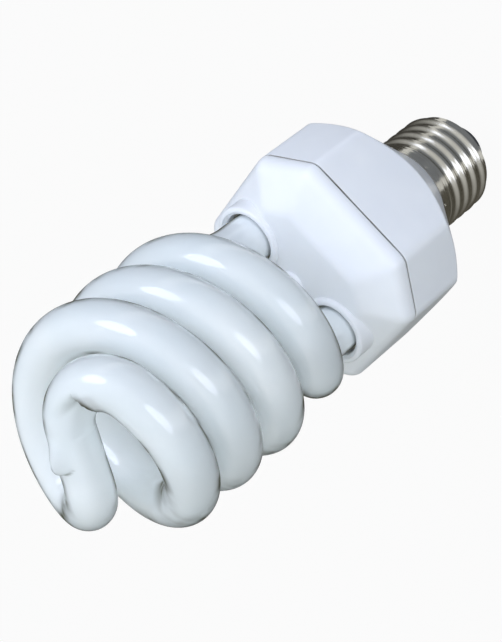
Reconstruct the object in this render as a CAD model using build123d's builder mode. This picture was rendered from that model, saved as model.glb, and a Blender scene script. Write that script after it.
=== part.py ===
from build123d import *
from math import atan, cos, pi, radians, sin, sqrt, tan
import os

# Compact fluorescent lamp: a double spiral tube on an octagonal ballast housing with a screw cap.
# The origin is the middle of the centre contact's flat end, +Z points to the tip of the spiral,
# and the two legs of the tube stand on the X axis. All sizes are millimetres and degrees.

# Screw cap
thread_crest_diameter = 26.4
thread_depth = 1.1
thread_pitch = 3.62
thread_run_in = 2.2
cap_wall = 0.4
cap_length = 20.1
skirt_length = 2.0
skirt_flare = 1.0
skirt_margin = 0.1
shell_rim_width = 2.7

# Cap insulator and centre contact
insulator_height = 6.9
insulator_band = 0.9
insulator_depth = 2.5
insulator_inset = 1.9
contact_diameter = 10.0
contact_thickness = 0.6
contact_rounding = 0.4
contact_border = 1.3
stem_diameter = 3.2
stem_length = 7.0
stem_bore = 1.8
solder_length = 3.0

# Ballast housing
housing_width = 51.4
corner_cut = 10.95
edge_rounding = 4.0
housing_length = 34.4
housing_wall = 1.6
cone_rise = 1.1
cone_rim_rounding = 1.2
seam_chamfer = 0.3
neck_wall = 1.5
neck_clearance = 0.2
neck_end_room = 1.2
ledge_width = 6.0
ledge_depth = 2.4

# Tube cover
shoulder_height = 3.0
front_rise = 5.7
front_inset = 9.7
shoulder_rounding = 4.0
front_rounding = 5.0
front_corner_rounding = 2.5
collar_wall = 1.95
collar_rise = 1.3
collar_rounding = 0.7
socket_depth = 7.2
cement_thickness = 0.75
boss_diameter = 6.8
boss_height = 1.2
boss_rounding = 0.6
lip_length = 3.0
lip_wall = 1.2
lip_clearance = 0.2
lip_root_height = 1.4
snap_length = 10.0
snap_height = 1.0
snap_reach = 0.4

# Discharge tube
tube_diameter = 12.0
turn_gap = 2.32
coil_diameter = 43.8
coil_turn = 600.0
coil_start_angle = 30.75
leg_offset = 14.6
leg_rise = 4.6
leg_bend_room = 1.0
bridge_turn = 45.55
bridge_half_length = 5.8
bridge_rise = 5.8
foot_rounding = 3.0
foot_height = 1.0
nub_diameter = 6.8
nub_height = 1.8
nub_offset = 1.9
cement_height = 3.5

# Circuit board, leads and wires
board_thickness = 1.6
board_clearance = 0.4
lead_diameter = 0.6
lead_clearance = 0.15
lead_tail = 1.0
wire_diameter = 0.9
wire_clearance = 0.15
layout_gap = 0.8
edge_room = 4.0
post_width = 0.9
post_height = 4.4
post_gap = 1.8
filament_spacing = 4.0
filament_drop = 2.7
filament_bend = 1.0

# Board components
choke_width = 14.0
choke_height = 12.0
choke_core_depth = 5.0
choke_yoke = 2.0
choke_leg = 2.0
choke_middle_leg = 3.6
bobbin_depth = 11.0
bobbin_wall = 0.6
bobbin_clearance = 0.1
bobbin_rail = 1.6
winding_inset = 0.3
smoothing_diameter = 10.0
smoothing_length = 18.0
smoothing_rounding = 0.8
smoothing_lead_spacing = 5.0
film_width = 9.0
film_depth = 5.0
film_height = 9.0
film_rounding = 1.2
film_lead_spacing = 5.0
starting_width = 7.0
starting_depth = 4.0
starting_height = 6.0
starting_lead_spacing = 5.0
drive_core_diameter = 9.0
drive_core_bore = 5.0
drive_core_height = 4.0
drive_winding_build = 0.5
drive_winding_arc = 50.0
drive_winding_count = 3
transistor_width = 8.0
transistor_thickness = 3.0
transistor_height = 10.0
transistor_standoff = 3.0
transistor_hole = 3.0
transistor_hole_drop = 3.5
transistor_lead_spacing = 2.3
drum_diameter = 6.0
drum_height = 7.0
drum_flange = 1.0
drum_waist = 3.0
drum_winding = 5.4
drum_lead_spacing = 4.0
fuse_diameter = 3.5
fuse_length = 8.0
diode_diameter = 2.7
diode_length = 5.2
trigger_diameter = 2.0
trigger_length = 4.0
resistor_diameter = 2.3
resistor_length = 6.0
standing_gap = 1.0
standing_loop = 1.5
standing_bend = 0.8

# Heights along the lamp, from the contact's flat end upwards
cap_edge = insulator_height + cap_length
skirt_start = cap_edge - skirt_length
seam = cap_edge + housing_length
shoulder = seam + shoulder_height
front_face = shoulder + front_rise
collar_rim = front_face + collar_rise
socket_end = front_face - socket_depth
tube_foot = socket_end + foot_height
leg_top = collar_rim + leg_rise
board_top = seam - lip_length
board_bottom = board_top - board_thickness
insulator_top = insulator_height + insulator_depth

# The largest part of a wall or run that a rounding may take up
fillet_share = 0.9

# Radii that several pieces share
tube_radius = tube_diameter / 2
collar_bore = tube_radius + cement_thickness
collar_radius = collar_bore + collar_wall
crest_radius = thread_crest_diameter / 2
root_radius = crest_radius - thread_depth
shell_bore = root_radius - cap_wall
skirt_bore = crest_radius - cap_wall
neck_radius = shell_bore - neck_clearance
neck_bore = neck_radius - neck_wall
rim_opening = root_radius - shell_rim_width
lead_radius = lead_diameter / 2
wire_radius = wire_diameter / 2
lead_hole = lead_radius + lead_clearance
wire_hole = wire_radius + wire_clearance
stem_hole = stem_bore / 2

# The thread's crest crosses the +X side at this height and one pitch further each turn.
# The shell lead meets the shell where the thread's root crosses the -Y side.
thread_start = insulator_height - thread_run_in
shell_lead_height = thread_start + 2.25 * thread_pitch
neck_end = shell_lead_height + neck_end_room

os.makedirs("parts", exist_ok=True)


def save(piece, name):
    """Label a finished piece and write it."""
    piece.part.label = name
    export_step(piece.part, f"parts/{name}.step")


def octagon(inset, rounding):
    """The housing's octagon, moved inwards by inset, with rounded corners."""
    width = housing_width - 2 * inset
    cut = corner_cut - inset * (2 - sqrt(2))
    with BuildSketch() as outline:
        Rectangle(width, width)
        chamfer(outline.vertices(), cut)
        fillet(outline.vertices(), rounding)
    return outline.sketch


def slab(inset, rounding, bottom, top):
    """A plate or plug with the housing's octagonal outline."""
    with BuildPart() as plate:
        with BuildSketch(Plane.XY.offset(bottom)):
            add(octagon(inset, rounding))
        extrude(amount=top - bottom)
    return plate.part


def turned(points):
    """A solid of revolution about Z from its half section, given as radius and height."""
    with BuildPart() as body:
        with BuildSketch(Plane.XZ):
            with BuildLine():
                Polyline(*points, close=True)
            make_face()
        revolve(axis=Axis.Z)
    return body.part


def polar(radius, angle, height):
    """A point at a radius, an angle in degrees and a height."""
    return Vector(radius * cos(radians(angle)), radius * sin(radians(angle)), height)


# Discharge tube
# One strand climbs from its leg into the spiral and over to the axis, in the frame where its
# spiral starts on +X. Two arcs that touch smoothly join the leg and the bridge to the spiral.
coil_radius = coil_diameter / 2
coil_pitch = 2 * (tube_diameter + turn_gap)
coil_start = leg_top + tube_diameter + leg_bend_room
coil_height = coil_pitch * coil_turn / 360
bridge_height = coil_start + coil_height + bridge_rise


def arc_meeting_point(start, start_direction, end, end_direction):
    """Where two touching arcs from start to end meet."""
    span = end - start
    both = start_direction + end_direction
    bend = 2 * (1 - start_direction.dot(end_direction))
    reach = (sqrt(span.dot(both) ** 2 + bend * span.dot(span)) - span.dot(both)) / bend
    return (start + end + (start_direction - end_direction) * reach) * 0.5


leg_foot_point = polar(leg_offset, -coil_start_angle, tube_foot)
leg_top_point = polar(leg_offset, -coil_start_angle, leg_top)
bridge_end_point = polar(bridge_half_length, coil_turn + bridge_turn, bridge_height)
bridge_middle_point = Vector(0, 0, bridge_height)
bridge_direction = (bridge_middle_point - bridge_end_point).normalized()

with BuildPart() as strand:
    with BuildLine():
        spiral = Helix(coil_pitch, coil_height, coil_radius, center=(0, 0, coil_start))
        leg_meeting = arc_meeting_point(leg_top_point, Vector(0, 0, 1), spiral @ 0, spiral % 0)
        bridge_meeting = arc_meeting_point(spiral @ 1, spiral % 1, bridge_end_point, bridge_direction)
        leg = Line(leg_foot_point, leg_top_point)
        leg_bend = TangentArc(leg @ 1, leg_meeting, tangent=leg % 1)
        TangentArc(leg_bend @ 1, spiral @ 0, tangent=leg_bend % 1)
        bridge_bend = TangentArc(spiral @ 1, bridge_meeting, tangent=spiral % 1)
        TangentArc(bridge_bend @ 1, bridge_end_point, tangent=bridge_bend % 1)
        Line(bridge_end_point, bridge_middle_point)
    with BuildSketch(Plane(leg_foot_point)):
        Circle(tube_radius)
    sweep()
    foot_edges = strand.edges().filter_by(GeomType.CIRCLE).group_by(Axis.Z)[0]
    fillet(foot_edges, min(foot_rounding, fillet_share * tube_radius))

bridge_angle = coil_start_angle + coil_turn + bridge_turn
nub_radius = nub_diameter / 2
nub_middle = polar(nub_offset, bridge_angle + 180, bridge_height + tube_radius + nub_height - nub_radius)
with BuildPart() as discharge_tube:
    with PolarLocations(0, 2, start_angle=coil_start_angle):
        add(strand.part)
    with Locations(nub_middle):
        Sphere(nub_radius)
save(discharge_tube, "discharge_tube")

# Cement rings that fix the two legs in the cover's collars
for side, name in ((1, "leg_cement_right"), (-1, "leg_cement_left")):
    with BuildPart() as cement:
        with BuildSketch(Plane.XY.offset(collar_rim - socket_depth / 2)):
            with Locations((side * leg_offset, 0)):
                Circle(collar_bore)
                Circle(tube_radius, mode=Mode.SUBTRACT)
        extrude(amount=-cement_height)
    save(cement, name)

# Tube cover
# Its rim stands on the housing, a lip goes down inside it, and two collars carry the legs.
slope = front_rise / front_inset
shoulder_turn = pi / 2 - atan(slope)
lip_inset = housing_wall + lip_clearance
lip_inner_inset = lip_inset + lip_wall
inner_shoulder = shoulder + housing_wall * slope - housing_wall * sqrt(1 + slope ** 2)
inner_front = front_face - housing_wall
inner_front_inset = housing_wall + (inner_front - inner_shoulder) / slope
inner_rounding = max(edge_rounding - housing_wall, seam_chamfer)
snap_middle = seam - lip_length / 2
snap_distance = housing_width / 2 - lip_inset

with BuildPart() as cover_cavity:
    add(slab(housing_wall, inner_rounding, seam + lip_root_height, inner_shoulder))
    with BuildSketch(Plane.XY.offset(inner_shoulder)):
        add(octagon(housing_wall, inner_rounding))
    with BuildSketch(Plane.XY.offset(inner_front)):
        add(octagon(inner_front_inset, front_corner_rounding))
    loft()

with BuildPart() as tube_cover:
    add(slab(0, edge_rounding, seam, shoulder))
    with BuildSketch(Plane.XY.offset(shoulder)):
        add(octagon(0, edge_rounding))
    with BuildSketch(Plane.XY.offset(front_face)):
        add(octagon(front_inset, front_corner_rounding))
    loft()
    shoulder_limit = fillet_share * (shoulder_height - seam_chamfer) / tan(shoulder_turn / 2)
    shoulder_edges = tube_cover.edges().filter_by_position(Axis.Z, shoulder, shoulder)
    fillet(shoulder_edges, min(shoulder_rounding, shoulder_limit))
    fillet(tube_cover.edges().filter_by_position(Axis.Z, front_face, front_face), front_rounding)
    chamfer(tube_cover.edges().filter_by_position(Axis.Z, seam, seam), seam_chamfer)
    add(slab(lip_inset, inner_rounding, board_top, seam))
    add(slab(lip_inner_inset, inner_rounding, board_top, seam + lip_root_height), mode=Mode.SUBTRACT)
    add(cover_cavity.part, mode=Mode.SUBTRACT)
    with BuildSketch(Plane.XY.offset(socket_end)):
        with Locations((leg_offset, 0), (-leg_offset, 0)):
            Circle(collar_radius)
    extrude(amount=collar_rim - socket_end)
    with BuildSketch(Plane.XY.offset(socket_end)):
        with Locations((leg_offset, 0), (-leg_offset, 0)):
            Circle(collar_bore)
    extrude(amount=collar_rim - socket_end, mode=Mode.SUBTRACT)
    rim_edges = tube_cover.edges().filter_by_position(Axis.Z, collar_rim, collar_rim)
    fillet(rim_edges, min(collar_rounding, fillet_share * collar_wall / 2))
    with BuildSketch(Plane.XY.offset(front_face)):
        Circle(boss_diameter / 2)
    extrude(amount=boss_height)
    boss_top = front_face + boss_height
    boss_edges = tube_cover.edges().filter_by_position(Axis.Z, boss_top, boss_top)
    fillet(boss_edges, min(boss_rounding, fillet_share * boss_height))
    with BuildSketch(Plane.XY.offset(snap_middle - snap_height / 2)):
        with PolarLocations(snap_distance, 4):
            Rectangle(2 * snap_reach, snap_length)
    extrude(amount=snap_height)
save(tube_cover, "tube_cover")

# Ballast housing
# An octagonal cup whose rear is turned to a cone, with a neck that carries the screw cap.
cone_wall = housing_wall * sqrt(1 + cone_rise ** 2)
cone_reach = (seam - cap_edge) / cone_rise
ledge_distance = (housing_width - corner_cut) / sqrt(2) - housing_wall
ledge_start = cap_edge + (ledge_distance - crest_radius) * cone_rise + cone_wall
cavity_radius = crest_radius - cone_wall / cone_rise


def cone(start_radius):
    """The turned rear of the housing, from the cap's edge to the seam."""
    return turned([(0, cap_edge), (start_radius, cap_edge), (start_radius + cone_reach, seam), (0, seam)])


with BuildPart() as housing_cavity:
    add(slab(housing_wall, inner_rounding, cap_edge, seam))
    add(cone(cavity_radius), mode=Mode.INTERSECT)

with BuildPart() as ballast_housing:
    add(slab(0, edge_rounding, cap_edge, seam))
    add(cone(crest_radius), mode=Mode.INTERSECT)
    cone_edges = ballast_housing.faces().filter_by(GeomType.CONE).edges()
    fillet(cone_edges.filter_by_position(Axis.Z, cap_edge, seam, (False, False)), cone_rim_rounding)
    chamfer(ballast_housing.edges().filter_by_position(Axis.Z, seam, seam), seam_chamfer)
    with BuildSketch(Plane.XY.offset(cap_edge)):
        Circle(skirt_bore - neck_clearance)
    extrude(amount=skirt_start - cap_edge)
    with BuildSketch(Plane.XY.offset(cap_edge)):
        Circle(neck_radius)
    extrude(amount=neck_end - cap_edge)
    add(housing_cavity.part, mode=Mode.SUBTRACT)
    with BuildSketch(Plane.XY.offset(neck_end)):
        Circle(neck_bore)
    extrude(amount=cap_edge - neck_end, mode=Mode.SUBTRACT)
    with BuildSketch(Plane.XY.offset(ledge_start)):
        with PolarLocations(ledge_distance - ledge_depth / 2, 4, start_angle=45):
            Rectangle(ledge_depth + housing_wall, ledge_width)
    extrude(amount=board_bottom - ledge_start)
    with BuildSketch(Plane.XY.offset(snap_middle - snap_height / 2 - lip_clearance)):
        with PolarLocations(snap_distance, 4):
            Rectangle(2 * (snap_reach + lip_clearance), snap_length + 2 * lip_clearance)
    extrude(amount=snap_height + 2 * lip_clearance, mode=Mode.SUBTRACT)
save(ballast_housing, "ballast_housing")


# Screw cap shell
# A thread of rounded section has the same off-centre circle at every height, turned with the height.
def threaded_plug(inset):
    """The shell's outside moved inwards by inset, as a solid plug."""
    mean_radius = (crest_radius + root_radius) / 2 - inset
    skirt = crest_radius + skirt_margin - inset
    root = root_radius - skirt_margin - inset
    start = insulator_height + inset
    run_in_end = start + thread_run_in
    thread_length = skirt_start + skirt_flare - thread_start
    with BuildPart() as plug:
        with BuildLine():
            Helix(thread_pitch, thread_length, thread_depth / 2, center=(0, 0, thread_start))
        with BuildSketch(Plane((thread_depth / 2, 0, thread_start))):
            Circle(mean_radius)
        sweep(normal=(0, 0, 1))
        flare = [(0, skirt_start - skirt_flare), (root, skirt_start - skirt_flare)]
        add(turned(flare + [(skirt, skirt_start), (skirt, cap_edge), (0, cap_edge)]))
        outline = [(0, start), (root, start), (skirt, run_in_end), (skirt, cap_edge), (0, cap_edge)]
        add(turned(outline), mode=Mode.INTERSECT)
    return plug.part


with BuildPart() as cap_shell:
    add(threaded_plug(0))
    add(threaded_plug(cap_wall), mode=Mode.SUBTRACT)
    with BuildSketch(Plane.XY.offset(insulator_height)):
        Circle(rim_opening)
    extrude(amount=cap_wall, mode=Mode.SUBTRACT)
save(cap_shell, "cap_shell")

# Cap insulator
# Black glass pressed through the shell's end, which grips the rim between its two shoulders.
insulator_radius = root_radius - insulator_inset
band_start = insulator_height - insulator_band
insulator_section = [(stem_diameter / 2, contact_thickness)]
insulator_section += [(contact_diameter / 2 + contact_border, contact_thickness)]
insulator_section += [(insulator_radius, band_start)]
insulator_section += [(insulator_radius, insulator_height), (rim_opening, insulator_height)]
insulator_section += [(rim_opening, insulator_height + cap_wall)]
insulator_section += [(neck_radius, insulator_height + cap_wall)]
insulator_section += [(neck_radius, insulator_top), (stem_diameter / 2, insulator_top)]
with BuildPart() as cap_insulator:
    add(turned(insulator_section))
save(cap_insulator, "cap_insulator")

# Centre contact, a turned disc with a hollow stem, and the solder that closes it
with BuildPart() as centre_contact:
    with BuildSketch():
        Circle(contact_diameter / 2)
    extrude(amount=contact_thickness)
    contact_edge = centre_contact.edges().group_by(Axis.Z)[0]
    fillet(contact_edge, min(contact_rounding, fillet_share * contact_thickness))
    with BuildSketch(Plane.XY.offset(contact_thickness)):
        Circle(stem_diameter / 2)
    extrude(amount=stem_length)
    Hole(stem_hole)
save(centre_contact, "centre_contact")

with BuildPart() as contact_solder:
    with BuildSketch():
        Circle(stem_hole)
    extrude(amount=solder_length)
save(contact_solder, "contact_solder")

# Places of the components on the board's rear face
# The two axes divide the board: one large component sits against them in each quarter,
# and the small ones stand at the housing's wall and at one of its ledges.
edge = housing_width / 2 - housing_wall - edge_room
choke_place = (-layout_gap - choke_width / 2, layout_gap + bobbin_depth / 2)
smoothing_place = (layout_gap + smoothing_diameter / 2, layout_gap + smoothing_diameter / 2)
drive_radius = drive_core_diameter / 2 + drive_winding_build
drive_place = (-layout_gap - drive_radius, -layout_gap - drive_radius)
resonant_place = (layout_gap + film_width / 2, -layout_gap - film_depth / 2)
blocking_place = (resonant_place[0], resonant_place[1] - film_depth - layout_gap)
starting_place = (layout_gap + starting_width / 2, starting_depth / 2 - edge)
transistor_offset = edge - transistor_thickness / 2
transistor_side = layout_gap + transistor_width / 2
transistor_places = ((-transistor_offset, -transistor_side, 90), (-transistor_side, -transistor_offset, 0))
drum_place = (edge - drum_diameter / 2, layout_gap + drum_diameter / 2)
fuse_place = (layout_gap + fuse_diameter / 2, edge - fuse_diameter / 2)
standing_pitch = 2 * lead_radius + layout_gap
ledge_face = ledge_distance - ledge_depth - housing_wall / 2
ledge_turn = 225
trigger_distance = ledge_face - layout_gap - lead_radius - standing_pitch - trigger_diameter / 2
trigger_point = polar(trigger_distance, ledge_turn, board_bottom)
diode_step = diode_diameter + standing_pitch + layout_gap
resistor_step = resistor_diameter + standing_pitch + layout_gap
shell_lead_offset = neck_bore - wire_radius - wire_clearance

# Each lead of a component goes through a hole in the board.
lead_places = []
lead_length = board_thickness + lead_tail


def lead_sections(places):
    """Sections of leads on the board's rear face, noted for its holes."""
    lead_places.extend(places)
    with BuildSketch(Plane.XY.offset(board_bottom)) as sections:
        with Locations(*places):
            Circle(lead_radius)
    return sections.sketch


def pair(place, spacing):
    """Two places side by side along X."""
    return [(place[0] - spacing / 2, place[1]), (place[0] + spacing / 2, place[1])]


def block(place, width, depth, height, rounding, spacing):
    """A dipped film capacitor: a rounded block on the board with two leads."""
    with BuildPart() as piece:
        with BuildSketch(Plane.XY.offset(board_bottom)):
            with Locations(place):
                Rectangle(width, depth)
        extrude(amount=-height)
        fillet(piece.edges().filter_by(Axis.Z), rounding)
        fillet(piece.edges().group_by(Axis.Z)[0], rounding)
        extrude(lead_sections(pair(place, spacing)), amount=lead_length)
    return piece


def standing(place, diameter, length, turn):
    """An axial component on end, with its far lead bent back to the board."""
    body_end = board_bottom - standing_gap - length
    loop_end = body_end - standing_loop
    reach = diameter / 2 + standing_pitch
    side = (place[0] + reach * cos(radians(turn)), place[1] + reach * sin(radians(turn)))
    with BuildPart() as piece:
        with BuildSketch(Plane.XY.offset(body_end)):
            with Locations(place):
                Circle(diameter / 2)
        extrude(amount=length)
        with BuildLine():
            FilletPolyline(
                (*place, body_end), (*place, loop_end), (*side, loop_end), (*side, board_bottom),
                radius=min(standing_bend, fillet_share * reach / 2),
            )
        with BuildSketch(Plane((*place, body_end), z_dir=(0, 0, -1))):
            Circle(lead_radius)
        sweep()
        with BuildSketch(Plane.XY.offset(board_bottom)):
            with Locations(place):
                Circle(lead_radius)
        extrude(amount=-standing_gap)
        extrude(lead_sections([place, side]), amount=lead_length)
    return piece


# Choke: a ferrite frame with a middle leg, its bobbin and the copper winding
window_width = (choke_width - choke_middle_leg) / 2 - choke_leg
window_height = choke_height - 2 * choke_yoke
window_offset = (choke_middle_leg + window_width) / 2
flange_width = choke_width - 2 * choke_leg - 2 * bobbin_clearance
tube_width = choke_middle_leg + 2 * (bobbin_clearance + bobbin_wall)
tube_depth = choke_core_depth + 2 * (bobbin_clearance + bobbin_wall)
bobbin_bottom = board_bottom - choke_yoke - window_height + bobbin_clearance
bobbin_height = window_height - 2 * bobbin_clearance
bobbin_top = bobbin_bottom + bobbin_height
with BuildPart() as choke_core:
    with BuildSketch(Plane.XZ.offset(-choke_place[1] - choke_core_depth / 2)):
        with Locations((choke_place[0], board_bottom - choke_height / 2)):
            Rectangle(choke_width, choke_height)
        with Locations(
            (choke_place[0] - window_offset, board_bottom - choke_height / 2),
            (choke_place[0] + window_offset, board_bottom - choke_height / 2),
        ):
            Rectangle(window_width, window_height, mode=Mode.SUBTRACT)
    extrude(amount=choke_core_depth)
save(choke_core, "choke_core")

with BuildPart() as choke_bobbin:
    for flange_bottom in (bobbin_bottom, bobbin_top - bobbin_wall):
        with BuildSketch(Plane.XY.offset(flange_bottom)):
            with Locations(choke_place):
                Rectangle(flange_width, bobbin_depth)
        extrude(amount=bobbin_wall)
    with BuildSketch(Plane.XY.offset(bobbin_bottom)):
        with Locations(choke_place):
            Rectangle(tube_width, tube_depth)
    extrude(amount=bobbin_height)
    with BuildSketch(Plane.XY.offset(bobbin_bottom)):
        with Locations(choke_place):
            Rectangle(tube_width - 2 * bobbin_wall, tube_depth - 2 * bobbin_wall)
    extrude(amount=bobbin_height, mode=Mode.SUBTRACT)
    rail_offset = (bobbin_depth - bobbin_rail) / 2
    with BuildSketch(Plane.XY.offset(bobbin_top)):
        with Locations(choke_place):
            with Locations((0, rail_offset), (0, -rail_offset)):
                Rectangle(flange_width, bobbin_rail)
    extrude(amount=board_bottom - bobbin_top)
    pin_spacing = flange_width - 2 * bobbin_rail
    pin_places = pair((choke_place[0], choke_place[1] + rail_offset), pin_spacing)
    pin_places += pair((choke_place[0], choke_place[1] - rail_offset), pin_spacing)
    extrude(lead_sections(pin_places), amount=lead_length)
save(choke_bobbin, "choke_bobbin")

with BuildPart() as choke_winding:
    with BuildSketch(Plane.XY.offset(bobbin_bottom + bobbin_wall)):
        with Locations(choke_place):
            RectangleRounded(
                flange_width - 2 * winding_inset, bobbin_depth - 2 * winding_inset, bobbin_rail
            )
            Rectangle(tube_width, tube_depth, mode=Mode.SUBTRACT)
    extrude(amount=bobbin_height - 2 * bobbin_wall)
save(choke_winding, "choke_winding")

# Smoothing capacitor: an electrolytic can that reaches back towards the neck
with BuildPart() as smoothing_capacitor:
    with BuildSketch(Plane.XY.offset(board_bottom)):
        with Locations(smoothing_place):
            Circle(smoothing_diameter / 2)
    extrude(amount=-smoothing_length)
    fillet(smoothing_capacitor.edges().filter_by(GeomType.CIRCLE), smoothing_rounding)
    extrude(lead_sections(pair(smoothing_place, smoothing_lead_spacing)), amount=lead_length)
save(smoothing_capacitor, "smoothing_capacitor")

# Film capacitors
film_sizes = (film_width, film_depth, film_height, film_rounding, film_lead_spacing)
save(block(resonant_place, *film_sizes), "resonant_capacitor")
save(block(blocking_place, *film_sizes), "blocking_capacitor")
starting_sizes = (starting_width, starting_depth, starting_height, film_rounding, starting_lead_spacing)
save(block(starting_place, *starting_sizes), "starting_capacitor")

# Drive transformer: a ferrite ring with three short windings, lying on the board
drive_bottom = board_bottom - drive_winding_build - drive_core_height
with BuildPart() as drive_core:
    with BuildSketch(Plane.XY.offset(drive_bottom)):
        with Locations(drive_place):
            Circle(drive_core_diameter / 2)
            Circle(drive_core_bore / 2, mode=Mode.SUBTRACT)
    extrude(amount=drive_core_height)
save(drive_core, "drive_core")

drive_band = (drive_core_diameter - drive_core_bore) / 2
drive_middle = (drive_core_diameter + drive_core_bore) / 4
drive_axis = Axis((*drive_place, 0), (0, 0, 1))
for number in range(drive_winding_count):
    turn = number * 360 / drive_winding_count
    winding_plane = Plane(
        (*drive_place, drive_bottom + drive_core_height / 2),
        x_dir=(cos(radians(turn)), sin(radians(turn)), 0),
        z_dir=(sin(radians(turn)), -cos(radians(turn)), 0),
    )
    with BuildPart() as drive_winding:
        with BuildSketch(winding_plane):
            with Locations((drive_middle, 0)):
                Rectangle(drive_band + 2 * drive_winding_build, drive_core_height + 2 * drive_winding_build)
                Rectangle(drive_band, drive_core_height, mode=Mode.SUBTRACT)
        revolve(axis=drive_axis, revolution_arc=drive_winding_arc)
    save(drive_winding, f"drive_winding_{number + 1}")

# Switching transistors: flat moulded packages standing on three leads
for number, (x, y, turn) in enumerate(transistor_places, 1):
    across = Vector(cos(radians(turn)), sin(radians(turn)), 0)
    package_top = board_bottom - transistor_standoff
    hole_middle = package_top - transistor_height + transistor_hole_drop
    pins = [(x + step * transistor_lead_spacing * across.X, y + step * transistor_lead_spacing * across.Y)
            for step in (-1, 0, 1)]
    with BuildPart() as transistor:
        with BuildSketch(Plane((x, y, package_top), x_dir=across, z_dir=(0, 0, 1))):
            Rectangle(transistor_width, transistor_thickness)
        extrude(amount=-transistor_height)
        with BuildSketch(Plane((x, y, hole_middle), x_dir=across, z_dir=across.rotate(Axis.Z, -90))):
            Circle(transistor_hole / 2)
        extrude(amount=transistor_thickness, both=True, mode=Mode.SUBTRACT)
        with BuildSketch(Plane.XY.offset(package_top)):
            with Locations(*pins):
                Circle(lead_radius)
        extrude(amount=transistor_standoff)
        extrude(lead_sections(pins), amount=lead_length)
    save(transistor, f"transistor_{number}")

# Filter inductor: a ferrite drum and the winding in its waist
drum_bottom = board_bottom - drum_height
with BuildPart() as drum_core:
    with BuildSketch(Plane.XY.offset(drum_bottom)):
        with Locations(drum_place):
            Circle(drum_diameter / 2)
    extrude(amount=drum_height)
    with BuildSketch(Plane.XY.offset(drum_bottom + drum_flange)):
        with Locations(drum_place):
            Circle(drum_diameter / 2)
            Circle(drum_waist / 2, mode=Mode.SUBTRACT)
    extrude(amount=drum_height - 2 * drum_flange, mode=Mode.SUBTRACT)
    extrude(lead_sections(pair(drum_place, drum_lead_spacing)), amount=lead_length)
save(drum_core, "filter_inductor_core")

with BuildPart() as drum_winding_ring:
    with BuildSketch(Plane.XY.offset(drum_bottom + drum_flange)):
        with Locations(drum_place):
            Circle(drum_winding / 2)
            Circle(drum_waist / 2, mode=Mode.SUBTRACT)
    extrude(amount=drum_height - 2 * drum_flange)
save(drum_winding_ring, "filter_inductor_winding")

# Axial components on end: the fusing resistor, the bridge diodes, the trigger diode, four resistors
save(standing(fuse_place, fuse_diameter, fuse_length, 0), "fuse_resistor")
trigger_place = (trigger_point.X, trigger_point.Y)
save(standing(trigger_place, trigger_diameter, trigger_length, ledge_turn), "trigger_diode")
for number in range(4):
    column, row = divmod(number, 2)
    diode_place = (
        edge - diode_diameter / 2 - column * (diode_diameter + layout_gap),
        -layout_gap - diode_diameter / 2 - row * diode_step,
    )
    save(standing(diode_place, diode_diameter, diode_length, -90), f"rectifier_diode_{number + 1}")
for number in range(4):
    column, row = divmod(number, 2)
    resistor_place = (
        -layout_gap - resistor_diameter / 2 - column * resistor_step,
        edge - resistor_diameter / 2 - row * (resistor_diameter + layout_gap),
    )
    save(standing(resistor_place, resistor_diameter, resistor_length, 180), f"resistor_{number + 1}")

# Wires to the cap: one down the middle to the centre contact, one along the neck to the shell
with BuildPart() as contact_lead:
    with BuildSketch(Plane.XY.offset(solder_length)):
        Circle(wire_radius)
    extrude(amount=board_top + lead_tail - solder_length)
save(contact_lead, "contact_lead")

with BuildPart() as shell_lead:
    with BuildLine():
        FilletPolyline(
            (0, -shell_lead_offset, board_top + lead_tail),
            (0, -shell_lead_offset, shell_lead_height),
            (0, wire_clearance - shell_bore, shell_lead_height),
            radius=wire_radius,
        )
    with BuildSketch(Plane((0, -shell_lead_offset, board_top + lead_tail), z_dir=(0, 0, -1))):
        Circle(wire_radius)
    sweep()
save(shell_lead, "shell_lead")

# Circuit board: stands on the housing's corner ledges, held down by the cover's lip
board_inset = housing_wall + board_clearance
with BuildPart() as circuit_board:
    add(slab(board_inset, inner_rounding, board_bottom, board_top))
    with BuildSketch(Plane.XY.offset(board_bottom)):
        with Locations(*lead_places):
            Circle(lead_hole)
        with Locations((0, 0), (0, -shell_lead_offset)):
            Circle(wire_hole)
    extrude(amount=board_thickness, mode=Mode.SUBTRACT)
save(circuit_board, "circuit_board")

# Wrap posts on the board's front face and the filament leads that end on them
post_offset = collar_radius + post_gap
corners = ((1, 1), (-1, 1), (-1, -1), (1, -1))
for number, (side, end) in enumerate(corners, 1):
    with BuildPart() as wrap_post:
        with BuildSketch(Plane.XY.offset(board_top)):
            with Locations((side * leg_offset, end * post_offset)):
                Rectangle(post_width, post_width)
        extrude(amount=post_height)
    save(wrap_post, f"wrap_post_{number}")
    lead_x = side * leg_offset
    lead_start = (lead_x, end * filament_spacing / 2, tube_foot)
    with BuildPart() as filament_lead:
        with BuildLine():
            FilletPolyline(
                lead_start,
                (lead_x, end * filament_spacing / 2, tube_foot - filament_drop),
                (lead_x, end * (post_offset - post_width / 2), tube_foot - filament_drop),
                radius=filament_bend,
            )
        with BuildSketch(Plane(lead_start, z_dir=(0, 0, -1))):
            Circle(lead_radius)
        sweep()
    save(filament_lead, f"filament_lead_{number}")
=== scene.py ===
from math import atan2, cos, pi, radians, sin, sqrt

import bmesh
import bpy
from mathutils import Matrix, Vector


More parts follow.
